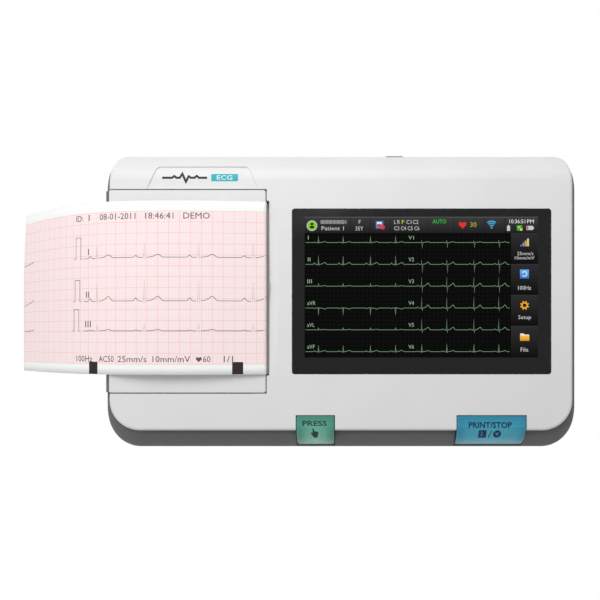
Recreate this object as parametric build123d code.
from build123d import *
import os
from math import acos, atan2, cos, degrees, hypot, pi, radians, sin, tan

# A portable ECG machine with a touch display and a built-in chart printer. Millimetres.
#
# Everything is drawn in the case frame: u to the right, v to the rear, w out of the sloping top face,
# with its origin on the top face. in_row_frame() then tips the case to its slope and lifts it onto its
# feet. The boards and the battery lie level, so they are drawn straight in the row frame's directions.

# ---- driving dimensions -------------------------------------------------------------------------
SLOPE = 6.0             # degrees the top face tips down towards the user
TOP_Z = 43.5            # height of the case frame's origin above the table
SHIFT_X = 25.4          # moves the origin under the centre of the whole outline, strip included
SHIFT_Y = -1.83

WALL = 2.4
GAP = 0.3               # running gap round keys and door
FIT = 0.05              # radial clearance of turning shafts

COVER_HALF = 107.2      # white cover: half width, front edge, rear edge
COVER_FRONT = -60.2
COVER_REAR = 68.8
COVER_DEPTH = 12.0      # from the top face to the skirt's lower edge
ROLL_OFF = 12.8         # radius of the rolled rear edge
CORNER_U = 7.0          # rear corners are quarter ellipses, longer towards the rear
CORNER_V = 15.5

RIM_W = -5.0            # upper edge of the grey rim round the cover
BULGE_W = -13.0         # height of the base shell's widest line
BASE_BOTTOM_Z = 2.0
FLOOR_Z = 4.4

GLASS = (-22.5, 97.0, -34.0, 42.2)          # u from, u to, v from, v to
ACTIVE = (-16.8, 91.0, -26.4, 38.6)
DOOR = (-107.2, -34.75, -42.75, 51.0)
SEAM = 0.4              # gap between the door and the cover

HINGE_U = -104.0        # door hinge axis, along v
HINGE_W = -7.0
BARREL_R = 6.3

PAPER_FRONT = -34.2     # 80 mm chart paper
PAPER_REAR = 45.4
PAPER_THICK = 0.12

PLATEN_U = -39.6
PLATEN_W = -10.0
PLATEN_R = 5.0
SHAFT_R = 1.5

ROLL_U = -80.0
ROLL_W = -18.0
ROLL_R = 13.5
CORE_R = 6.0

GREEN_KEY = (-20.6, -3.1)       # u from, u to
BLUE_KEY = (53.7, 85.5)
KEY_REAR = -53.4
KEY_FLOOR = -12.05      # bottom of the pocket a key sinks into
STEM_V = -55.6
GREEN_STEM_U = -12.0
BLUE_STEM_U = 69.0
KEY_ROUNDING = 0.8      # radius along a key's side edges

PLATEN_TEETH = 20
SMALL_TEETH = 16
BIG_TEETH = 40
PINION_TEETH = 14
COARSE = 0.5            # module of the platen gear and the small gear
FINE = 0.4              # module of the big gear and the pinion
MESH_SLACK = 0.06       # extra centre distance
MOTOR_DIRECTION = 208   # degrees from the reduction gear to the motor, seen from the front


# ---- drawing helpers ----------------------------------------------------------------------------
def in_row_frame(shape):
    """Moves a shape from the case frame to the row frame."""
    return Pos(SHIFT_X, SHIFT_Y, TOP_Z) * Rot(SLOPE, 0, 0) * shape


def level(shape):
    """Moves a level shape, drawn above the table, to the row frame."""
    return Pos(SHIFT_X, SHIFT_Y, 0) * shape


def in_case_frame(shape):
    """Moves a level shape into the case frame, so that it can cut something drawn there."""
    return Rot(-SLOPE, 0, 0) * Pos(0, 0, -TOP_Z) * shape


def block(u0, u1, v0, v1, w0, w1):
    middle = Pos((u0 + u1) / 2, (v0 + v1) / 2, (w0 + w1) / 2)
    return middle * Box(u1 - u0, v1 - v0, w1 - w0)


def rounded_block(u0, u1, v0, v1, w0, w1, radius):
    face = Pos((u0 + u1) / 2, (v0 + v1) / 2, w0) * RectangleRounded(u1 - u0, v1 - v0, radius)
    return extrude(face, w1 - w0)


def along_v(face, v0, v1):
    """A (u, w) outline made solid from v0 to v1."""
    plane = Plane(origin=(0, v1, 0), x_dir=(1, 0, 0), z_dir=(0, -1, 0))
    return extrude(plane * face, v1 - v0)


def along_u(face, u0, u1):
    """A (v, w) outline made solid from u0 to u1."""
    plane = Plane(origin=(u0, 0, 0), x_dir=(0, 1, 0), z_dir=(1, 0, 0))
    return extrude(plane * face, u1 - u0)


def rod(u, w, radius, v0, v1):
    return along_v(Pos(u, w) * Circle(radius), v0, v1)


def post(x, y, radius, z0, z1):
    return Pos(x, y, (z0 + z1) / 2) * Cylinder(radius, z1 - z0)


def group(shapes):
    """Separate solids kept together under one name."""
    return Compound(list(shapes))


# ---- outlines -----------------------------------------------------------------------------------
def case_outline(half, front, rear, front_r, corner_u, corner_v):
    """Rounded case outline: round front corners, elliptical rear corners."""
    shoulder = rear - corner_v
    lines = [
        Line((half, front + front_r), (half, shoulder)),
        EllipticalCenterArc((half - corner_u, shoulder), corner_u, corner_v, 0, arc_size=90),
        Line((half - corner_u, rear), (corner_u - half, rear)),
        EllipticalCenterArc((corner_u - half, shoulder), corner_u, corner_v, 90, arc_size=90),
        Line((-half, shoulder), (-half, front + front_r)),
        CenterArc((front_r - half, front + front_r), front_r, 180, 90),
        Line((front_r - half, front), (half - front_r, front)),
        CenterArc((half - front_r, front + front_r), front_r, 270, 90),
    ]
    return make_face(lines)


def cover_outline(inset=0.0):
    return case_outline(
        COVER_HALF - inset,
        COVER_FRONT + inset,
        COVER_REAR - inset,
        14.0 - inset,
        CORNER_U - inset,
        CORNER_V - inset,
    )


def above_roll_off(drop):
    """Everything above the rolled top surface, lowered by drop."""
    radius = ROLL_OFF - drop
    start = COVER_REAR - ROLL_OFF
    far, high = 40.0, 20.0
    lines = [
        CenterArc((start, -ROLL_OFF), radius, 0, 90),
        Line((start, -drop), (start - 200, -drop)),
        Line((start - 200, -drop), (start - 200, high)),
        Line((start - 200, high), (start + far, high)),
        Line((start + far, high), (start + far, -ROLL_OFF)),
        Line((start + far, -ROLL_OFF), (start + radius, -ROLL_OFF)),
    ]
    return along_u(make_face(lines), -150, 150)


def involute_gear(teeth, module, phase=0.0):
    """Gear outline with one tooth centred at phase degrees from +u."""
    pressure = radians(20)
    backlash = 0.10
    pitch_r = module * teeth / 2
    base_r = pitch_r * cos(pressure)
    outer_r = pitch_r + 0.8 * module
    root_r = pitch_r - 1.1 * module
    half_tooth = pi / (2 * teeth) - backlash / (2 * pitch_r) + tan(pressure) - pressure
    start_r = max(base_r, root_r)
    steps = 4
    flank = []
    for i in range(steps + 1):
        r = start_r + (outer_r - start_r) * i / steps
        roll = acos(min(1.0, base_r / r))
        flank.append((r, half_tooth - (tan(roll) - roll)))
    if root_r < base_r:
        flank.insert(0, (root_r, flank[0][1]))
    points = []
    for k in range(teeth):
        middle = radians(phase) + 2 * pi * k / teeth
        rising = [(r, middle - a) for r, a in flank]
        falling = [(r, middle + a) for r, a in reversed(flank)]
        points += [(r * cos(a), r * sin(a)) for r, a in rising + falling]
    return make_face(Polyline(*points, close=True))


# ---- places worked out from the driving dimensions ----------------------------------------------
PLATEN_PITCH_R = COARSE * PLATEN_TEETH / 2
SMALL_PITCH_R = COARSE * SMALL_TEETH / 2
BIG_PITCH_R = FINE * BIG_TEETH / 2
PINION_PITCH_R = FINE * PINION_TEETH / 2
REDUCTION_U = PLATEN_U
REDUCTION_W = PLATEN_W - PLATEN_PITCH_R - SMALL_PITCH_R - MESH_SLACK
MOTOR_REACH = BIG_PITCH_R + PINION_PITCH_R + MESH_SLACK
MOTOR_U = REDUCTION_U + MOTOR_REACH * cos(radians(MOTOR_DIRECTION))
MOTOR_W = REDUCTION_W + MOTOR_REACH * sin(radians(MOTOR_DIRECTION))
PLATEN_GEAR_V = (-42.4, -40.2)
BIG_GEAR_V = (-45.2, -43.2)
HEAD_U = PLATEN_U + PLATEN_R + 0.25
PIVOT_U = HEAD_U + 2.2
PIVOT_W = PLATEN_W - 11.5
CRADLE_U = HEAD_U + 8.0


def key_profile(inset=0.0):
    """Side outline of a key that wraps over the front edge."""
    top, nose, foot = 0.5 - inset, -67.6 + inset, -10.4
    rear = KEY_REAR - inset
    lines = [
        Line((rear, foot), (rear, top)),
        Line((rear, top), (-58.6, top)),
        ThreePointArc((-58.6, top), (-63.6 + inset * 0.7, -2.4 - inset * 0.7), (nose, -9.0)),
        Line((nose, -9.0), (nose, foot)),
        Line((nose, foot), (rear, foot)),
    ]
    return make_face(lines)


def key_notch(key):
    """Room for a key and its travel, cut from the cover and the base shell."""
    return block(key[0] - GAP, key[1] + GAP, -90, KEY_REAR + GAP, KEY_FLOOR, 10)


def key_floor(key, stem_u):
    """Closes the case below a key, round the key's stem."""
    floor = block(key[0] - 2, key[1] + 2, -60.0, KEY_REAR + 2, KEY_FLOOR - 1.3, KEY_FLOOR)
    return floor - rod_w(stem_u, STEM_V, 1.4, KEY_FLOOR - 2, KEY_FLOOR + 1)


def board_posts():
    """Where the main board stands, (x, y)."""
    return [(-14.0, -30.0), (93.0, -30.0), (-14.0, 46.0), (93.0, 46.0)]


CASE_SCREWS = [
    (99.0, -44.0), (99.0, 54.0), (-20.0, 57.0),
    (-99.0, -52.0), (-96.0, 60.5), (28.0, -56.0),
]
SPLIT_Z = 22.0          # level where the cover's screw bosses meet the base's
BOSS_R = 3.4
FEET = [(-90.0, -46.0), (90.0, -46.0), (-90.0, 56.0), (90.0, 56.0)]
BATTERY = (12.0, 84.0, -8.0, 42.0, 5.0, 22.0)
BATTERY_SCREWS = [(7.5, 17.0), (88.5, 17.0)]
MAIN_BOARD_Z = 26.0
BOARD_THICK = 1.6


# ---- case ---------------------------------------------------------------------------------------
def top_cover():
    shell = extrude(Pos(0, 0, -COVER_DEPTH) * cover_outline(), COVER_DEPTH)
    shell = shell - above_roll_off(0)
    rim = shell.edges().filter_by_position(Axis.Z, -COVER_DEPTH + 0.2, 1).sort_by(Axis.Z)
    top_edges = [e for e in rim if e.center().Z > -1 and abs(e.center().Z) < 0.01]
    outer = [e for e in top_edges if not is_roll_off_start(e)]
    shell = fillet(outer, 1.4)
    hollow = extrude(Pos(0, 0, -COVER_DEPTH - 1) * cover_outline(WALL), COVER_DEPTH + 1)
    hollow = hollow - above_roll_off(WALL)
    shell = shell - hollow
    for x, y in CASE_SCREWS:
        boss = in_case_frame(post(x, y, BOSS_R, SPLIT_Z, TOP_Z + 12)) - above_roll_off(WALL / 2)
        shell = shell + boss
        shell = shell - in_case_frame(post(x, y, 1.3, SPLIT_Z - 1, SPLIT_Z + 9))
    # display opening: a pocket for the glass and a window below it
    u0, u1, v0, v1 = GLASS
    shell = shell - rounded_block(u0 - 0.2, u1 + 0.2, v0 - 0.2, v1 + 0.2, -1.4, 5, 1.4)
    shell = shell - block(u0 + 1.6, u1 - 1.6, v0 + 1.6, v1 - 1.6, -5, 1)
    # door opening, open to the left, and the wider slot where the paper leaves
    d0, d1, e0, e1 = DOOR
    shell = shell - block(-120, d1 + SEAM, e0 - SEAM, e1 + SEAM, -30, 5)
    shell = shell - block(d1, d1 + 1.65, PAPER_FRONT - 0.6, PAPER_REAR + 0.6, -30, 5)
    shell = shell - finger_scoop()
    shell = shell - block(d1 + 1.6, d1 + 2.3, PAPER_FRONT + 0.6, PAPER_REAR - 0.6, -3, -0.8)
    shell = shell - key_notch(GREEN_KEY) - key_notch(BLUE_KEY)
    shell = shell - badge_recess()
    for v0, v1 in HINGE_EARS:
        shell = shell - block(-106.6, -97.0, v0 - 0.9, v1 + 0.9, -30, -3.2)
    return shell


def finger_scoop():
    """A shallow dish along the slot that fades out towards its ends."""
    v0, v1 = PAPER_FRONT - 0.6, PAPER_REAR + 0.6
    axis_w, reach, fade = 5.6, 6.4, 0.8
    lines = [
        Line((v0, 0), (v0, reach - fade)),
        ThreePointArc((v0, reach - fade), ((v0 + v1) / 2, reach), (v1, reach - fade)),
        Line((v1, reach - fade), (v1, 0)),
        Line((v1, 0), (v0, 0)),
    ]
    side = Plane(origin=(DOOR[1] + 2.6, 0, axis_w), x_dir=(0, 1, 0), z_dir=(1, 0, 0)) * make_face(lines)
    return revolve(side, Axis((DOOR[1] + 2.6, 0, axis_w), (0, 1, 0)))


def is_roll_off_start(edge):
    """True for the straight line where the flat top meets the rolled edge."""
    return abs(edge.center().Y - (COVER_REAR - ROLL_OFF)) < 0.5 and edge.length > 100


def badge_recess():
    """A shallow recess for the maker's plate, following the rolled edge."""
    corners = [(-89.5, 51.9), (-38.5, 51.9), (-43.0, 62.0), (-85.0, 62.0)]
    face = make_face(Polyline(*corners, close=True))
    upper = face.vertices().group_by(Axis.Y)[-1]
    face = fillet(upper, 3.0)
    prism = extrude(Pos(0, 0, -12) * face, 20)
    return prism & above_roll_off(0.4)


HINGE_EARS = [(-47.4, -43.9), (52.2, 55.7)]

# height w, half width, front edge and rear edge of the base shell, outside and inside
SHELL_SECTIONS = [
    (-52.0, 105.0, -61.0, 66.4),
    (-36.0, 108.2, -65.6, 67.6),
    (-23.0, 110.0, -68.5, 68.4),
    (BULGE_W, 110.4, -69.2, 68.6),
    (-9.0, 110.1, -67.4, 68.6),
    (RIM_W, 109.3, -63.0, 68.5),
]
HOLLOW_SECTIONS = [
    (-52.0, 102.4, -58.0, 63.8),
    (-17.0, 107.4, -65.8, 66.5),
    (-COVER_DEPTH + 0.01, 104.8, -57.8, 66.3),
]


def base_shell():
    outside = loft([
        Pos(0, 0, w) * case_outline(half, front, rear, 14.5, half - 99.6, 17)
        for w, half, front, rear in SHELL_SECTIONS
    ])
    seat = extrude(Pos(0, 0, -COVER_DEPTH) * cover_outline(-0.15), 20)
    inside = loft([
        Pos(0, 0, w) * case_outline(half, front, rear, 12, half - 99.2, 16)
        for w, half, front, rear in HOLLOW_SECTIONS
    ], ruled=True)
    below_floor = in_case_frame(block(-150, 150, -150, 150, -60, FLOOR_Z))
    shell = outside - seat - (inside - below_floor)
    # beside the cover's rolled rear edge the rim follows it down
    shell = shell - (above_roll_off(-RIM_W) & block(-150, 150, 0, 120, -COVER_DEPTH, 20))
    # door side: the wall drops under the hinge barrel
    e0, e1 = DOOR[2], DOOR[3]
    shell = shell - block(-120, -100, e0 - SEAM, e1 + SEAM, -11.6, 5)
    shell = shell - rod(HINGE_U, HINGE_W, BARREL_R + 0.3, e0 - SEAM, e1 + SEAM)
    for v0, v1 in HINGE_EARS:
        shell = shell + block(-106.0, -98.0, v0, v1, -30, -3.6)
        shell = shell - rod(HINGE_U, HINGE_W, SHAFT_R + 0.005, v0 - 1, v1 + 1)
    for stand in inner_stands():
        shell = shell + stand
    shell = shell - rod(LATCH_U, LATCH_W, LATCH_PIN_R + 0.005, -50, LATCH_V[0])
    shell = shell + key_floor(GREEN_KEY, GREEN_STEM_U) + key_floor(BLUE_KEY, BLUE_STEM_U)
    shell = shell - key_notch(GREEN_KEY) - key_notch(BLUE_KEY)
    u0, u1, w0, w1 = POWER_KEY
    shell = shell - block(u0 - GAP, u1 + GAP, 66.0, 90, w0 - GAP, w1 + GAP)
    shell = shell - in_case_frame(block(-150, 150, -150, 150, -60, BASE_BOTTOM_Z))
    return in_row_frame(shell) + level(base_posts()) - level(base_holes())


def inner_stands():
    """Pillars that carry the printer, drawn square to the top face."""
    front, rear = HEAD_V[0] - 1.0, HEAD_V[1] + 1.0
    return [
        block(PIVOT_U - 3, CRADLE_U, front, front + 7, -60, -25.62),
        block(PIVOT_U - 3, CRADLE_U, rear - 7, rear, -60, -25.62),
        block(-56.0, -44.0, -46.4, -40.2, -60, -34.02),
        block(-30.6, -25.4, -43.6, -41.0, -60, LATCH_W + 2.5),
        block(-56.9, -53.1, 3.1, 7.9, -60, -30.02),
        rod_w(SPRING_PLACE[0], SPRING_PLACE[1], 3.2, -60, SPRING_SEAT_W),
        block(KEY_BOARD[0] + 1, KEY_BOARD[0] + 5, -57.0, -54.5, -60, KEY_BOARD[4] - 0.02),
        block(KEY_BOARD[1] - 5, KEY_BOARD[1] - 1, -57.0, -54.5, -60, KEY_BOARD[4] - 0.02),
    ]


def base_posts():
    posts = [post(x, y, BOSS_R, FLOOR_Z - 1, SPLIT_Z - 0.1) for x, y in CASE_SCREWS]
    posts += [post(x, y, 3.0, FLOOR_Z - 1, MAIN_BOARD_Z) for x, y in board_posts()]
    posts += [post(x, y, 2.6, FLOOR_Z - 1, 8.0) for x, y in FRONT_END_POSTS]
    posts += [post(x, y, 3.4, 3.7, 12.0) for x, y in BATTERY_SCREWS]
    posts += [block(x, x + 3, 54, 66, FLOOR_Z - 1, SOCKET_FLOOR_Z - 1.66) for x in (12, 44, 68)]
    x0, x1, y0, low, high = EARTH_POCKET
    t = POCKET_WALL
    posts.append(block(x0 - t, x1 + t, y0 - t, 68.0, low - t, high + t))
    return Part() + posts


def base_holes():
    holes = []
    for x, y in CASE_SCREWS:
        holes.append(post(x, y, 1.6, 0, SPLIT_Z + 1))
        holes.append(post(x, y, 2.9, 0, SPLIT_Z - 8.0))
        holes.append(post(x, y, BOSS_R + 0.3, SPLIT_Z - 0.1, TOP_Z + 12))
    for x, y in board_posts():
        holes.append(post(x, y, 1.3, MAIN_BOARD_Z - 9, MAIN_BOARD_Z + 1))
    for x, y in FRONT_END_POSTS:
        holes.append(post(x, y, 1.2, 5.2, 9.0))
    for x, y in FEET:
        holes.append(post(x, y, 5.1, 0, BASE_BOTTOM_Z + 0.8))
    for x, y in BATTERY_SCREWS:
        holes.append(post(x, y, 1.3, 0, 10.0))
    x0, x1, y0, y1 = BATTERY[:4]
    holes.append(block(x0 - 0.6, x1 + 0.6, y0 - 0.6, y1 + 0.6, 0, FLOOR_Z + 1))
    holes.append(block(x0 - 9.2, x1 + 9.2, y0 - 4.2, y1 + 4.2, 0, 3.7))
    for ring_r, count in [(0.0, 1), (3.2, 6), (6.4, 12)]:
        for k in range(count):
            a = 2 * pi * k / count
            x, y = SPEAKER[0] + ring_r * cos(a), SPEAKER[1] + ring_r * sin(a)
            holes.append(post(x, y, 0.9, 0, FLOOR_Z + 0.01))
    return Part() + holes + socket_holes()


# ---- sockets ------------------------------------------------------------------------------------
SPEAKER = (2.0, -40.0)
SPEAKER_R = 9.5
REAR_FACE_Y = 69.4      # sockets end a little inside the rear wall's face
NETWORK_X = 32.0
USB_X = 56.0
POWER_X = 4.0
EARTH_X = 90.0
SOCKET_FLOOR_Z = 9.2
EARTH_Z = 17.0
EARTH_R = 3.0
EARTH_GROOVE_Y = 66.4   # the plug's spring clicks in here
PATIENT_Y = 8.0
PATIENT_Z = 20.0
JACK_OFFSET = 16.66     # half the standard 33.3 mm spacing
POWER_KEY = (21.4, 29.8, -17.5, -13.0)      # u from, u to, w from, w to
EARTH_POCKET = (83.4, 96.6, 58.5, 10.4, 23.6)       # x from, x to, depth y, z from, z to
POWER_KEY_V = 69.7
POCKET_WALL = 1.6


def along_x_rod(y, z, radius, x0, x1):
    return Pos((x0 + x1) / 2, y, z) * Rot(0, 90, 0) * Cylinder(radius, x1 - x0)


def along_y_rod(x, z, radius, y0, y1):
    return Pos(x, (y0 + y1) / 2, z) * Rot(90, 0, 0) * Cylinder(radius, y1 - y0)


def d_shape(grow, x0, x1):
    """The D outline of a 15-way socket, from x0 to x1."""
    half_top, half_foot, half_high = 11.9 + grow, 10.5 + grow, 3.7 + grow
    corners = [
        (-half_top, half_high),
        (-half_foot, -half_high),
        (half_foot, -half_high),
        (half_top, half_high),
    ]
    face = make_face(Polyline(*corners, close=True))
    face = fillet(face.vertices(), 2.2)
    plane = Plane(origin=(x0, PATIENT_Y, PATIENT_Z), x_dir=(0, 1, 0), z_dir=(1, 0, 0))
    return extrude(plane * face, x1 - x0)


def patient_socket():
    """Metal shell with its fixing flange."""
    flange = block(103.2, 104.0, PATIENT_Y - 19.5, PATIENT_Y + 19.5, PATIENT_Z - 6.2, PATIENT_Z + 6.2)
    shell = flange + d_shape(0.4, 103.2, 112.0)
    shell = shell - d_shape(0.0, 100, 120)
    for side in (-1, 1):
        shell = shell - along_x_rod(PATIENT_Y + side * JACK_OFFSET, PATIENT_Z, 1.7, 100, 110)
    return shell


def patient_insert():
    insert = d_shape(-0.03, 98.5, 111.4)
    pitch, row = 2.77, 1.42
    places = [((k - 3.5) * pitch, row) for k in range(8)]
    places += [((k - 3.0) * pitch, -row) for k in range(7)]
    return insert - [along_x_rod(PATIENT_Y + y, PATIENT_Z + z, 0.6, 105, 112) for y, z in places]


def jack_screws():
    screws = []
    for side in (-1, 1):
        y = PATIENT_Y + side * JACK_OFFSET
        body = along_x_rod(y, PATIENT_Z, 2.4, 104.02, 111.4)
        body = body + along_x_rod(y, PATIENT_Z, 1.4, 99.5, 104.1)
        screws.append(body - along_x_rod(y, PATIENT_Z, 1.4, 106.0, 112))
    return group(screws)


def network_socket():
    z0 = SOCKET_FLOOR_Z
    body = block(NETWORK_X - 8, NETWORK_X + 8, 52.5, REAR_FACE_Y, z0, z0 + 13.4)
    body = body - block(NETWORK_X - 5.9, NETWORK_X + 5.9, 59, 90, z0 + 3.4, z0 + 11.6)
    return body - block(NETWORK_X - 3.0, NETWORK_X + 3.0, 59, 90, z0 + 1.6, z0 + 3.5)


def usb_socket():
    z0 = SOCKET_FLOOR_Z
    can = block(USB_X - 7, USB_X + 7, 54, REAR_FACE_Y, z0, z0 + 7.2)
    return can - block(USB_X - 6.4, USB_X + 6.4, 55, 90, z0 + 0.6, z0 + 6.6)


def usb_tongue():
    z0 = SOCKET_FLOOR_Z
    return block(USB_X - 5.6, USB_X + 5.6, 55.02, REAR_FACE_Y - 1.5, z0 + 4.2, z0 + 6.0)


def power_inlet():
    """Low-voltage inlet with its centre pin."""
    z0 = SOCKET_FLOOR_Z
    body = block(POWER_X - 4.6, POWER_X + 4.6, 57, REAR_FACE_Y, z0, z0 + 10.6)
    body = body - along_y_rod(POWER_X, z0 + 5.6, 3.2, 61, 90)
    return body + along_y_rod(POWER_X, z0 + 5.6, 1.0, 60, REAR_FACE_Y - 0.8)


def earth_pin():
    """Equipotential terminal: a 6 mm pin in a pocket, with a hexagonal flange and a nut behind the wall."""
    wall_y = EARTH_POCKET[2]
    flange_y, nut_y = wall_y + 1.62, wall_y - POCKET_WALL - 0.02
    groove_y = EARTH_GROOVE_Y
    shank = along_y_rod(EARTH_X, EARTH_Z, EARTH_R, nut_y - 4.0, REAR_FACE_Y)
    flange = Pos(EARTH_X, flange_y, EARTH_Z) * Rot(90, 0, 0) * extrude(RegularPolygon(5.4, 6), 1.6)
    nut = Pos(EARTH_X, nut_y, EARTH_Z) * Rot(90, 0, 0) * extrude(RegularPolygon(5.0, 6), 3.0)
    groove = along_y_rod(EARTH_X, EARTH_Z, EARTH_R + 1, groove_y, groove_y + 1.2)
    groove = groove - along_y_rod(EARTH_X, EARTH_Z, EARTH_R - 0.4, groove_y - 1, groove_y + 2)
    return shank + flange + nut - groove


def socket_holes():
    z0 = SOCKET_FLOOR_Z
    x0, x1, y0, low, high = EARTH_POCKET
    return [
        block(NETWORK_X - 8.2, NETWORK_X + 8.2, 61, 90, z0 - 0.2, z0 + 13.6),
        block(USB_X - 7.2, USB_X + 7.2, 61, 90, z0 - 0.2, z0 + 7.4),
        block(POWER_X - 4.8, POWER_X + 4.8, 61, 90, z0 - 0.2, z0 + 10.8),
        block(x0, x1, y0, 90, low, high),
        along_y_rod(EARTH_X, EARTH_Z, EARTH_R + 0.1, 50, 90),
        d_shape(0.6, 100, 120),
        along_x_rod(PATIENT_Y - JACK_OFFSET, PATIENT_Z, 2.6, 100, 120),
        along_x_rod(PATIENT_Y + JACK_OFFSET, PATIENT_Z, 2.6, 100, 120),
    ]


# ---- display ------------------------------------------------------------------------------------
def display_glass():
    u0, u1, v0, v1 = GLASS
    glass = rounded_block(u0, u1, v0, v1, -1.3, -0.1, 1.2)
    return chamfer(glass.faces().sort_by(Axis.Z)[-1].edges(), 0.15)


def display_gasket():
    u0, u1, v0, v1 = GLASS
    a0, a1, b0, b1 = ACTIVE
    outer = block(u0 + 1.8, u1 - 1.8, v0 + 1.8, v1 - 1.8, -2.55, -1.42)
    return outer - block(a0 - 0.6, a1 + 0.6, b0 - 0.6, b1 + 0.6, -5, 0)


def display_panel():
    a0, a1, b0, b1 = ACTIVE
    return rounded_block(a0 - 2.6, a1 + 3.2, b0 - 5.4, b1 + 2.6, -6.5, -2.6, 0.8)


def display_bracket():
    a0, a1, b0, b1 = ACTIVE
    tray = rounded_block(a0 - 3.8, a1 + 4.4, b0 - 6.6, b1 + 3.8, -7.4, -3.4, 1.2)
    tray = tray - block(a0 - 2.8, a1 + 3.4, b0 - 5.6, b1 + 2.8, -6.55, 0)
    window = rounded_block(a0 + 20, a1 - 20, b0 + 14, b1 - 14, -9, -5, 3)
    return tray - window


# ---- door, platen and hinge ---------------------------------------------------------------------
def door_cap():
    d0, d1, e0, e1 = DOOR
    cap = rounded_block(d0, d1, e0, e1, -2.0, 0, 1.0)
    top = cap.faces().sort_by(Axis.Z)[-1]
    return chamfer(top.edges(), 0.3)


EAR_FRONT = (-39.6, -37.8)
EAR_REAR = (47.4, 49.2)
BUSH_R = 2.8


def door_frame():
    d0, d1, e0, e1 = DOOR
    frame = rod(HINGE_U, HINGE_W, BARREL_R, e0, e1)
    frame = frame + block(HINGE_U, PLATEN_U + 3.4, e0 + 0.3, e1 - 0.3, -4.0, -2.0)
    for v0, v1 in (EAR_FRONT, EAR_REAR):
        frame = frame + block(PLATEN_U - 4.3, PLATEN_U + 4.3, v0, v1, PLATEN_W, -3.9)
        frame = frame + rod(PLATEN_U, PLATEN_W, 4.3, v0, v1)
        frame = frame - rod(PLATEN_U, PLATEN_W, BUSH_R + 0.005, v0, v1)
    v0, v1 = EAR_FRONT
    frame = frame + block(PLATEN_U + 3.8, d1 + 0.55, v0, v1, -9.5, -7.5)
    frame = frame - block(d0 - 0.01, 0, e0 - 1, e1 + 1, -2.0, 5)
    return frame - rod(HINGE_U, HINGE_W, SHAFT_R + FIT, e0 - 1, e1 + 1)


def hinge_pin():
    return rod(HINGE_U, HINGE_W, SHAFT_R, HINGE_EARS[0][0], HINGE_EARS[1][1])


def platen_shaft():
    return rod(PLATEN_U, PLATEN_W, SHAFT_R, PLATEN_GEAR_V[0] - 0.3, EAR_REAR[1] + 0.6)


def platen_rubber():
    rubber = rod(PLATEN_U, PLATEN_W, PLATEN_R, PAPER_FRONT - 0.4, PAPER_REAR + 0.4)
    return rubber - rod(PLATEN_U, PLATEN_W, SHAFT_R + 0.005, -60, 60)


def platen_bushes():
    bushes = []
    for v0, v1 in (EAR_FRONT, EAR_REAR):
        bush = rod(PLATEN_U, PLATEN_W, BUSH_R, v0, v1)
        bushes.append(bush - rod(PLATEN_U, PLATEN_W, SHAFT_R + FIT, v0 - 1, v1 + 1))
    return group(bushes)


def placed_gear(outline, u, w, span):
    return along_v(Pos(u, w) * outline, span[0], span[1])


def platen_gear():
    # a tooth points straight down at the reduction gear
    gear = placed_gear(involute_gear(PLATEN_TEETH, COARSE, -90), PLATEN_U, PLATEN_W, PLATEN_GEAR_V)
    return gear - rod(PLATEN_U, PLATEN_W, SHAFT_R + 0.005, -60, 60)


# ---- gear train ---------------------------------------------------------------------------------
def reduction_gear():
    """Big gear driven by the motor pinion and, on the same hub, the small gear that drives the platen."""
    small_phase = 90 + 180 / SMALL_TEETH
    u, w = REDUCTION_U, REDUCTION_W
    small = placed_gear(involute_gear(SMALL_TEETH, COARSE, small_phase), u, w, PLATEN_GEAR_V)
    big = placed_gear(involute_gear(BIG_TEETH, FINE, MOTOR_DIRECTION), u, w, BIG_GEAR_V)
    hub = rod(u, w, 3.2, BIG_GEAR_V[1] - 0.5, PLATEN_GEAR_V[0] + 0.5)
    return small + big + hub - rod(u, w, SHAFT_R + FIT, -60, -30)


def gear_stud():
    return rod(REDUCTION_U, REDUCTION_W, SHAFT_R, -46.5, PLATEN_GEAR_V[1] + 0.3)


def gear_bracket():
    plate = block(-58.0, -31.2, -46.5, -45.5, -34.0, -13.0)
    plate = plate + block(-58.0, -31.2, -46.5, -40.0, -34.0, -33.0)
    plate = plate - rod(REDUCTION_U, REDUCTION_W, SHAFT_R + 0.005, -50, -45)
    return plate - rod(MOTOR_U, MOTOR_W, 2.0, -50, -45)


def stepper_motor():
    can = rod(MOTOR_U, MOTOR_W, 7.5, -57.0, -46.55)
    return can - rod(MOTOR_U, MOTOR_W, 1.0 + FIT, -53.0, -46)


def motor_pinion():
    phase = MOTOR_DIRECTION + 180 + 180 / PINION_TEETH
    outline = involute_gear(PINION_TEETH, FINE, phase)
    pinion = placed_gear(outline, MOTOR_U, MOTOR_W, BIG_GEAR_V)
    return pinion + rod(MOTOR_U, MOTOR_W, 1.0, -52.5, BIG_GEAR_V[0] + 0.1)


# ---- print head ---------------------------------------------------------------------------------
HEAD_V = (-35.6, 46.8)


def print_head():
    head = block(HEAD_U, HEAD_U + 1.0, HEAD_V[0], HEAD_V[1], -18.5, -5.5)
    return chamfer(head.edges().filter_by(Axis.Y).sort_by(Axis.Z)[-2:], 0.3)


def head_bracket():
    bracket = block(HEAD_U + 1.0, HEAD_U + 3.2, HEAD_V[0], HEAD_V[1], PIVOT_W, -6.0)
    bracket = bracket + rod(PIVOT_U, PIVOT_W, 2.2, HEAD_V[0], HEAD_V[1])
    return bracket - rod(PIVOT_U, PIVOT_W, 1.0 + FIT, -60, 60)


def head_pivot():
    return rod(PIVOT_U, PIVOT_W, 1.0, HEAD_V[0] - 1.4, HEAD_V[1] + 1.4)


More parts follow.
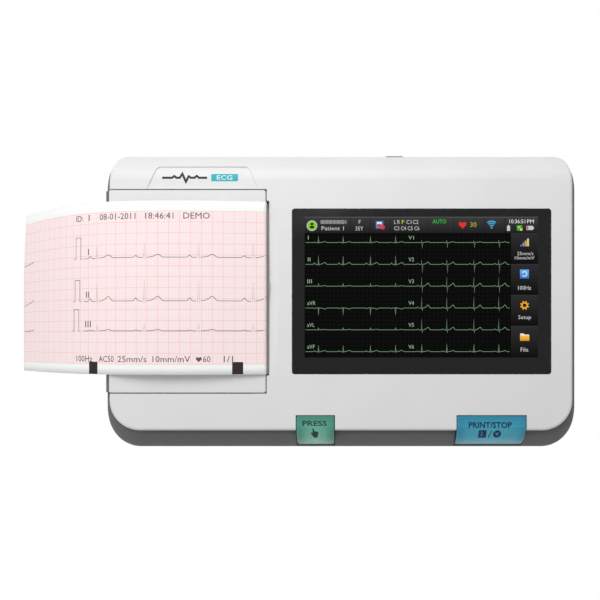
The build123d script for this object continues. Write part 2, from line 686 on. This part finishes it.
def head_cradle():
    """Folded steel channel that carries the print head."""
    front, rear = HEAD_V[0] - 1.4, HEAD_V[1] + 1.4
    cradle = block(PIVOT_U - 3.4, CRADLE_U + 1, front, rear, -25.6, -24.6)
    cradle = cradle + block(CRADLE_U, CRADLE_U + 1, front, rear, -25.6, -6.5)
    for v0, v1 in ((front, front + 0.8), (rear - 0.8, rear)):
        cradle = cradle + block(PIVOT_U - 3.4, CRADLE_U + 0.5, v0, v1, -25.6, -17.0)
    return cradle - rod(PIVOT_U, PIVOT_W, 1.005, -60, 60)


def coil(radius, wire, turns, length):
    """An open coil spring standing on the origin along +Z."""
    path = Helix(length / turns, length, radius)
    section = Plane(origin=path @ 0, z_dir=path % 0) * Circle(wire)
    return sweep(section, path=path)


def head_springs():
    length = CRADLE_U - (HEAD_U + 3.2) - 0.7
    places = [PAPER_FRONT + 12, (PAPER_FRONT + PAPER_REAR) / 2, PAPER_REAR - 12]
    one = coil(1.6, 0.25, 4, length)
    return group([Pos(HEAD_U + 3.55, v, -9.5) * Rot(0, 90, 0) * one for v in places])


def tear_bar():
    """Serrated steel edge along the paper slot."""
    d1 = DOOR[1]
    return block(d1 + 1.66, d1 + 2.24, PAPER_FRONT + 0.7, PAPER_REAR - 0.7, -2.3, -0.9)


# ---- paper --------------------------------------------------------------------------------------
def paper_tray():
    """Half-pipe under the roll with two end cheeks that carry the spindle."""
    inner, outer = ROLL_R + 0.9, ROLL_R + 2.0
    v0, v1 = PAPER_FRONT - 3.2, PAPER_REAR + 3.0
    top = ROLL_W + 12.5
    pipe = Pos(ROLL_U, ROLL_W) * (Circle(outer) - Circle(inner))
    tray = along_v(pipe, v0, v1)
    tray = tray - block(ROLL_U - 30, ROLL_U + 30, v0 - 1, v1 + 1, ROLL_W + 2, 0)
    tray = tray - block(ROLL_U + outer * 0.4, ROLL_U + 30, v0 - 1, v1 + 1, ROLL_W - outer, 0)
    cheek = Circle(outer) - Circle(2.1) - Pos(0, outer / 2) * Rectangle(4.2, outer)
    for c0, c1 in ((v0, v0 + 1.2), (v1 - 1.2, v1)):
        side = along_v(Pos(ROLL_U, ROLL_W) * cheek, c0, c1)
        tray = tray + (side - block(ROLL_U - 30, ROLL_U + 30, c0 - 1, c1 + 1, top, 0))
    for c0, c1 in ((v0, v0 + 4), (v1 - 4, v1)):
        leg = block(ROLL_U - 9, ROLL_U + 6, c0, c1, -60, ROLL_W - outer + 2.2)
        leg = leg - rod(ROLL_U, ROLL_W, inner, -60, 60)
        leg = leg - in_case_frame(block(-200, 200, -200, 200, -80, FLOOR_Z + 0.02))
        tray = tray + leg
    return tray


def roll_spindle():
    spindle = rod(ROLL_U, ROLL_W, 2.0, PAPER_FRONT - 3.0, PAPER_REAR + 2.8)
    for v0 in (PAPER_FRONT + 0.6, PAPER_REAR - 6.6):
        spindle = spindle + rod(ROLL_U, ROLL_W, CORE_R - 1.02, v0, v0 + 6)
    return spindle


def roll_core():
    core = rod(ROLL_U, ROLL_W, CORE_R, PAPER_FRONT, PAPER_REAR)
    return core - rod(ROLL_U, ROLL_W, CORE_R - 1.0, -60, 60)


def paper_roll():
    roll = rod(ROLL_U, ROLL_W, ROLL_R, PAPER_FRONT, PAPER_REAR)
    return roll - rod(ROLL_U, ROLL_W, CORE_R + 0.01, -60, 60)


def paper_web():
    """Paper between the roll's underside and the platen, wrapped under the platen."""
    du, dw = PLATEN_U - ROLL_U, PLATEN_W - ROLL_W
    slope = atan2(dw, du) + acos(0) - acos((ROLL_R - PLATEN_R) / hypot(du, dw))
    out_u, out_w = sin(slope), -cos(slope)
    near, far = 0.02, 0.02 + PAPER_THICK
    ends = []
    for lift in (near, far):
        start = (ROLL_U + (ROLL_R + lift) * out_u, ROLL_W + (ROLL_R + lift) * out_w)
        touch = (PLATEN_U + (PLATEN_R + lift) * out_u, PLATEN_W + (PLATEN_R + lift) * out_w)
        nip = (PLATEN_U + PLATEN_R + lift, PLATEN_W)
        ends.append((start, touch, nip))
    (start_in, touch_in, nip_in), (start_out, touch_out, nip_out) = ends
    first = degrees(slope) - 90
    lines = [
        Line(start_in, touch_in),
        CenterArc((PLATEN_U, PLATEN_W), PLATEN_R + near, first, -first),
        Line(nip_in, nip_out),
        CenterArc((PLATEN_U, PLATEN_W), PLATEN_R + far, 0, first),
        Line(touch_out, start_out),
        Line(start_out, start_in),
    ]
    return along_v(make_face(lines), PAPER_FRONT, PAPER_REAR)


STRIP_BEND_R = 1.2
STRIP_TOP = 0.2


def strip_path(lift):
    """One face of the printed strip: up through the slot, over the door and down past the left side."""
    up = PLATEN_U + PLATEN_R + 0.02 + lift
    bend = STRIP_BEND_R + lift
    turn = up - bend
    rise = Line((up, PLATEN_W + 0.1), (up, STRIP_TOP))
    over = CenterArc((turn, STRIP_TOP), bend, 0, 90)
    marks = [
        (turn, STRIP_TOP + bend, -1.0, 0.10),
        (-75.0, 4.4, -1.0, 0.0),
        (-107.7, 0.9, -1.0, -0.30),
        (-138.0, -15.8, -1.0, -0.80),
        (-162.6, -38.9, -1.0, -1.04),
    ]
    points, tangents = [], []
    for i, (u, w, du, dw) in enumerate(marks):
        size = hypot(du, dw)
        shift = 0 if i == 0 else lift
        points.append((u + shift * dw / size, w - shift * du / size))
        tangents.append((du, dw))
    fall = Spline(*points, tangents=tangents)
    return rise, over, fall


def chart_strip():
    inner = strip_path(0)
    outer = strip_path(PAPER_THICK)
    ends = [
        Line(inner[0] @ 0, outer[0] @ 0),
        Line(inner[2] @ 1, outer[2] @ 1),
    ]
    return along_v(make_face(list(inner) + list(outer) + ends), PAPER_FRONT, PAPER_REAR)


def paper_sensor():
    return block(-58.0, -52.0, 2.0, 9.0, -27.5, -24.4) + block(-57.0, -53.0, 3.0, 8.0, -30.0, -27.0)


# ---- keys and latch -----------------------------------------------------------------------------
LATCH_V = (-40.0, -37.6)
LATCH_U = -28.0
LATCH_PIN_R = 1.2
LATCH_W = -15.0
TONGUE_TOP = -13.65
SPRING_PLACE = (-12.0, -47.0)
SPRING_SEAT_W = -23.0


def key_cap(key, stem_u, stem_foot):
    """A hollow translucent cap with a stem."""
    cap = along_u(key_profile(), key[0], key[1])
    sides = cap.faces().sort_by(Axis.X)
    cap = fillet(sides[0].edges() + sides[-1].edges(), KEY_ROUNDING)
    hollow = along_u(key_profile(1.5), key[0] + 1.5, key[1] - 1.5)
    cap = cap - hollow - block(key[0] + 1.5, key[1] - 1.5, -66.0, KEY_REAR - 1.5, -20, -6)
    stem = rod_w(stem_u, STEM_V, 1.0, stem_foot, -0.5)
    return cap + stem + rod_w(stem_u, STEM_V, 1.5, -9.0, -0.5)


def rod_w(u, v, radius, w0, w1):
    return Pos(u, v, (w0 + w1) / 2) * Cylinder(radius, w1 - w0)


def release_key():
    return key_cap(GREEN_KEY, GREEN_STEM_U, -13.6)


def print_key():
    return key_cap(BLUE_KEY, BLUE_STEM_U, -14.5)


def latch_lever():
    """Rocker: the green key presses its tongue down and its nose swings off the door's catch."""
    v0, v1 = LATCH_V
    nose = [(-34.9, -7.3), (-34.9, -6.6), (-34.2, -6.0), (-32.2, -6.0)]
    tongue = [(-26.6, -13.4), (-9.0, TONGUE_TOP), (-9.0, -15.4), (-26.0, -17.0)]
    heel = [(-30.4, -16.6), (-30.6, -14.0), (-33.6, -8.4), (-33.6, -7.3)]
    corners = nose + tongue + heel
    lever = along_v(make_face(Polyline(*corners, close=True)), v0, v1)
    lever = lever + block(-15.0, -9.0, -57.4, v0 + 0.1, -15.0, TONGUE_TOP)
    return lever - rod(LATCH_U, LATCH_W, LATCH_PIN_R + FIT, -60, 0)


def latch_pin():
    return rod(LATCH_U, LATCH_W, LATCH_PIN_R, -43.6, LATCH_V[1] + 0.3)


def release_spring():
    length = -15.0 - SPRING_SEAT_W - 0.9
    return Pos(SPRING_PLACE[0], SPRING_PLACE[1], SPRING_SEAT_W + 0.4) * coil(2.2, 0.3, 5, length)


KEY_BOARD = (56.0, 82.0, -57.0, -40.0, -17.2, -15.8)


def key_board():
    return block(*KEY_BOARD)


def print_switch():
    """Click switch with a well that the key's stem dips into."""
    u, v = BLUE_STEM_U, STEM_V
    switch = block(u - 3, u + 3, v - 1.8, v + 3, KEY_BOARD[5] + 0.02, -13.6)
    return switch - rod_w(u, v, 1.2, -15.6, 0)


def power_key():
    u0, u1, w0, w1 = POWER_KEY
    body = block(u0, u1, 66.0, POWER_KEY_V, w0, w1)
    body = chamfer(body.faces().sort_by(Axis.Y)[-1].edges(), 0.4)
    return body + block(u0 - 1.2, u1 + 1.2, 64.4, 66.0, w0 - 1, w1 + 0.3)


# ---- boards, battery and the rest ----------------------------------------------------------------
def plate_with_holes(x0, x1, y0, y1, z0, z1, places, radius):
    plate = block(x0, x1, y0, y1, z0, z1)
    for x, y in places:
        plate = plate - post(x, y, radius, z0 - 1, z1 + 1)
    return plate


def main_board():
    z0 = MAIN_BOARD_Z + 0.02
    return plate_with_holes(-18, 98, -34, 50, z0, z0 + BOARD_THICK, board_posts(), 1.5)


def main_board_parts():
    """Processor, memory, connectors and regulators, each sitting on the board."""
    z0 = MAIN_BOARD_Z + BOARD_THICK + 0.04
    packages = [
        (10, -10, 17, 17, 1.6),     # processor: x, y, length, width, height
        (34, -10, 12, 10, 1.2),     # memory
        (34, 6, 12, 10, 1.2),
        (60, -14, 9, 9, 1.0),       # converter
        (14, 30, 8, 8, 1.0),        # power regulator
        (-6, 20, 6, 26, 3.0),       # print head connector
        (60, 20, 22, 5, 2.6),       # display connector
        (84, 0, 6, 24, 3.2),        # patient lead connector
        (36, 34, 18, 6, 2.4),       # socket board connector
    ]
    parts = []
    for x, y, length, width, height in packages:
        part = block(x - length / 2, x + length / 2, y - width / 2, y + width / 2, z0, z0 + height)
        parts.append(part)
    return group(parts)


FRONT_END_POSTS = [(23.0, -43.0), (85.0, -43.0), (23.0, -17.5), (85.0, -17.5)]


def front_end_board():
    return plate_with_holes(19.5, 88.5, -46.5, -14.0, 8.02, 9.6, FRONT_END_POSTS, 1.5)


def shield_can():
    can = block(30, 78, -44, -18.5, 9.62, 15.0)
    can = can - block(30.3, 77.7, -43.7, -18.8, 9, 14.7)
    vents = [post(36 + 6 * k, -24 - 8 * row, 1.0, 14, 16) for k in range(7) for row in range(3)]
    return can - vents


def io_board():
    return block(-2, 76, 52.2, 67.6, SOCKET_FLOOR_Z - 1.64, SOCKET_FLOOR_Z - 0.02)


def battery_pack():
    x0, x1, y0, y1, z0, z1 = BATTERY
    return rounded_block(x0, x1, y0, y1, z0, z1, 5.0)


def battery_door():
    x0, x1, y0, y1 = BATTERY[:4]
    door = rounded_block(x0 - 9.0, x1 + 9.0, y0 - 4.0, y1 + 4.0, BASE_BOTTOM_Z + 0.05, 3.65, 0.5)
    for x, y in BATTERY_SCREWS:
        door = door - post(x, y, 1.5, 0, 6)
    return door


def battery_connector():
    x1 = BATTERY[1]
    return block(x1 + 0.05, x1 + 3.4, 28, 38, FLOOR_Z + 0.02, 14.0)


def speaker():
    x, y = SPEAKER
    basket = post(x, y, SPEAKER_R, FLOOR_Z + 0.02, FLOOR_Z + 2.2)
    return basket + post(x, y, SPEAKER_R - 2, FLOOR_Z + 2, FLOOR_Z + 4.6)


def feet():
    pads = []
    for x, y in FEET:
        pad = post(x, y, 5.0, 0, BASE_BOTTOM_Z + 0.75)
        pads.append(chamfer(pad.edges().sort_by(Axis.Z)[0], 0.5))
    return group(pads)


def screws(places, shank_r, head_r, tip_z, neck_z, head_z):
    """Identical screws; the head lies between neck_z and head_z, above or below the shank."""
    made = []
    for x, y in places:
        head = post(x, y, head_r, min(neck_z, head_z), max(neck_z, head_z))
        made.append(head + post(x, y, shank_r, min(tip_z, neck_z), max(tip_z, neck_z)))
    return made


def case_screws():
    seat = SPLIT_Z - 8.0
    return group(screws(CASE_SCREWS, 1.25, 2.7, SPLIT_Z + 8, seat, seat - 2.0))


def board_screws():
    top = MAIN_BOARD_Z + BOARD_THICK + 0.04
    high = screws(board_posts(), 1.25, 2.4, MAIN_BOARD_Z - 7, top, top + 1.4)
    low = screws(FRONT_END_POSTS, 1.15, 2.2, 5.4, 9.62, 10.8)
    return group(high + low)


def battery_screws():
    return group(screws(BATTERY_SCREWS, 1.25, 2.5, 9.0, 2.03, 0.9))


# ---- writing ------------------------------------------------------------------------------------
SLOPING = [
    top_cover, display_glass, display_gasket, display_panel, display_bracket,
    door_cap, door_frame, hinge_pin, platen_shaft, platen_rubber, platen_bushes, platen_gear,
    reduction_gear, gear_stud, gear_bracket, stepper_motor, motor_pinion,
    print_head, head_bracket, head_pivot, head_cradle, head_springs, tear_bar,
    paper_tray, roll_spindle, roll_core, paper_roll, paper_web, chart_strip, paper_sensor,
    release_key, print_key, latch_lever, latch_pin, release_spring, key_board, print_switch, power_key,
]
LEVEL = [
    patient_socket, patient_insert, jack_screws, network_socket, usb_socket, usb_tongue, power_inlet,
    earth_pin, main_board, main_board_parts, front_end_board, shield_can, io_board,
    battery_pack, battery_door, battery_connector, speaker, feet, case_screws, board_screws, battery_screws,
]


def main():
    os.makedirs("parts", exist_ok=True)
    for draw in SLOPING:
        export_step(in_row_frame(draw()), f"parts/{draw.__name__}.step")
    for draw in LEVEL:
        export_step(level(draw()), f"parts/{draw.__name__}.step")
    export_step(base_shell(), "parts/base_shell.step")


main()
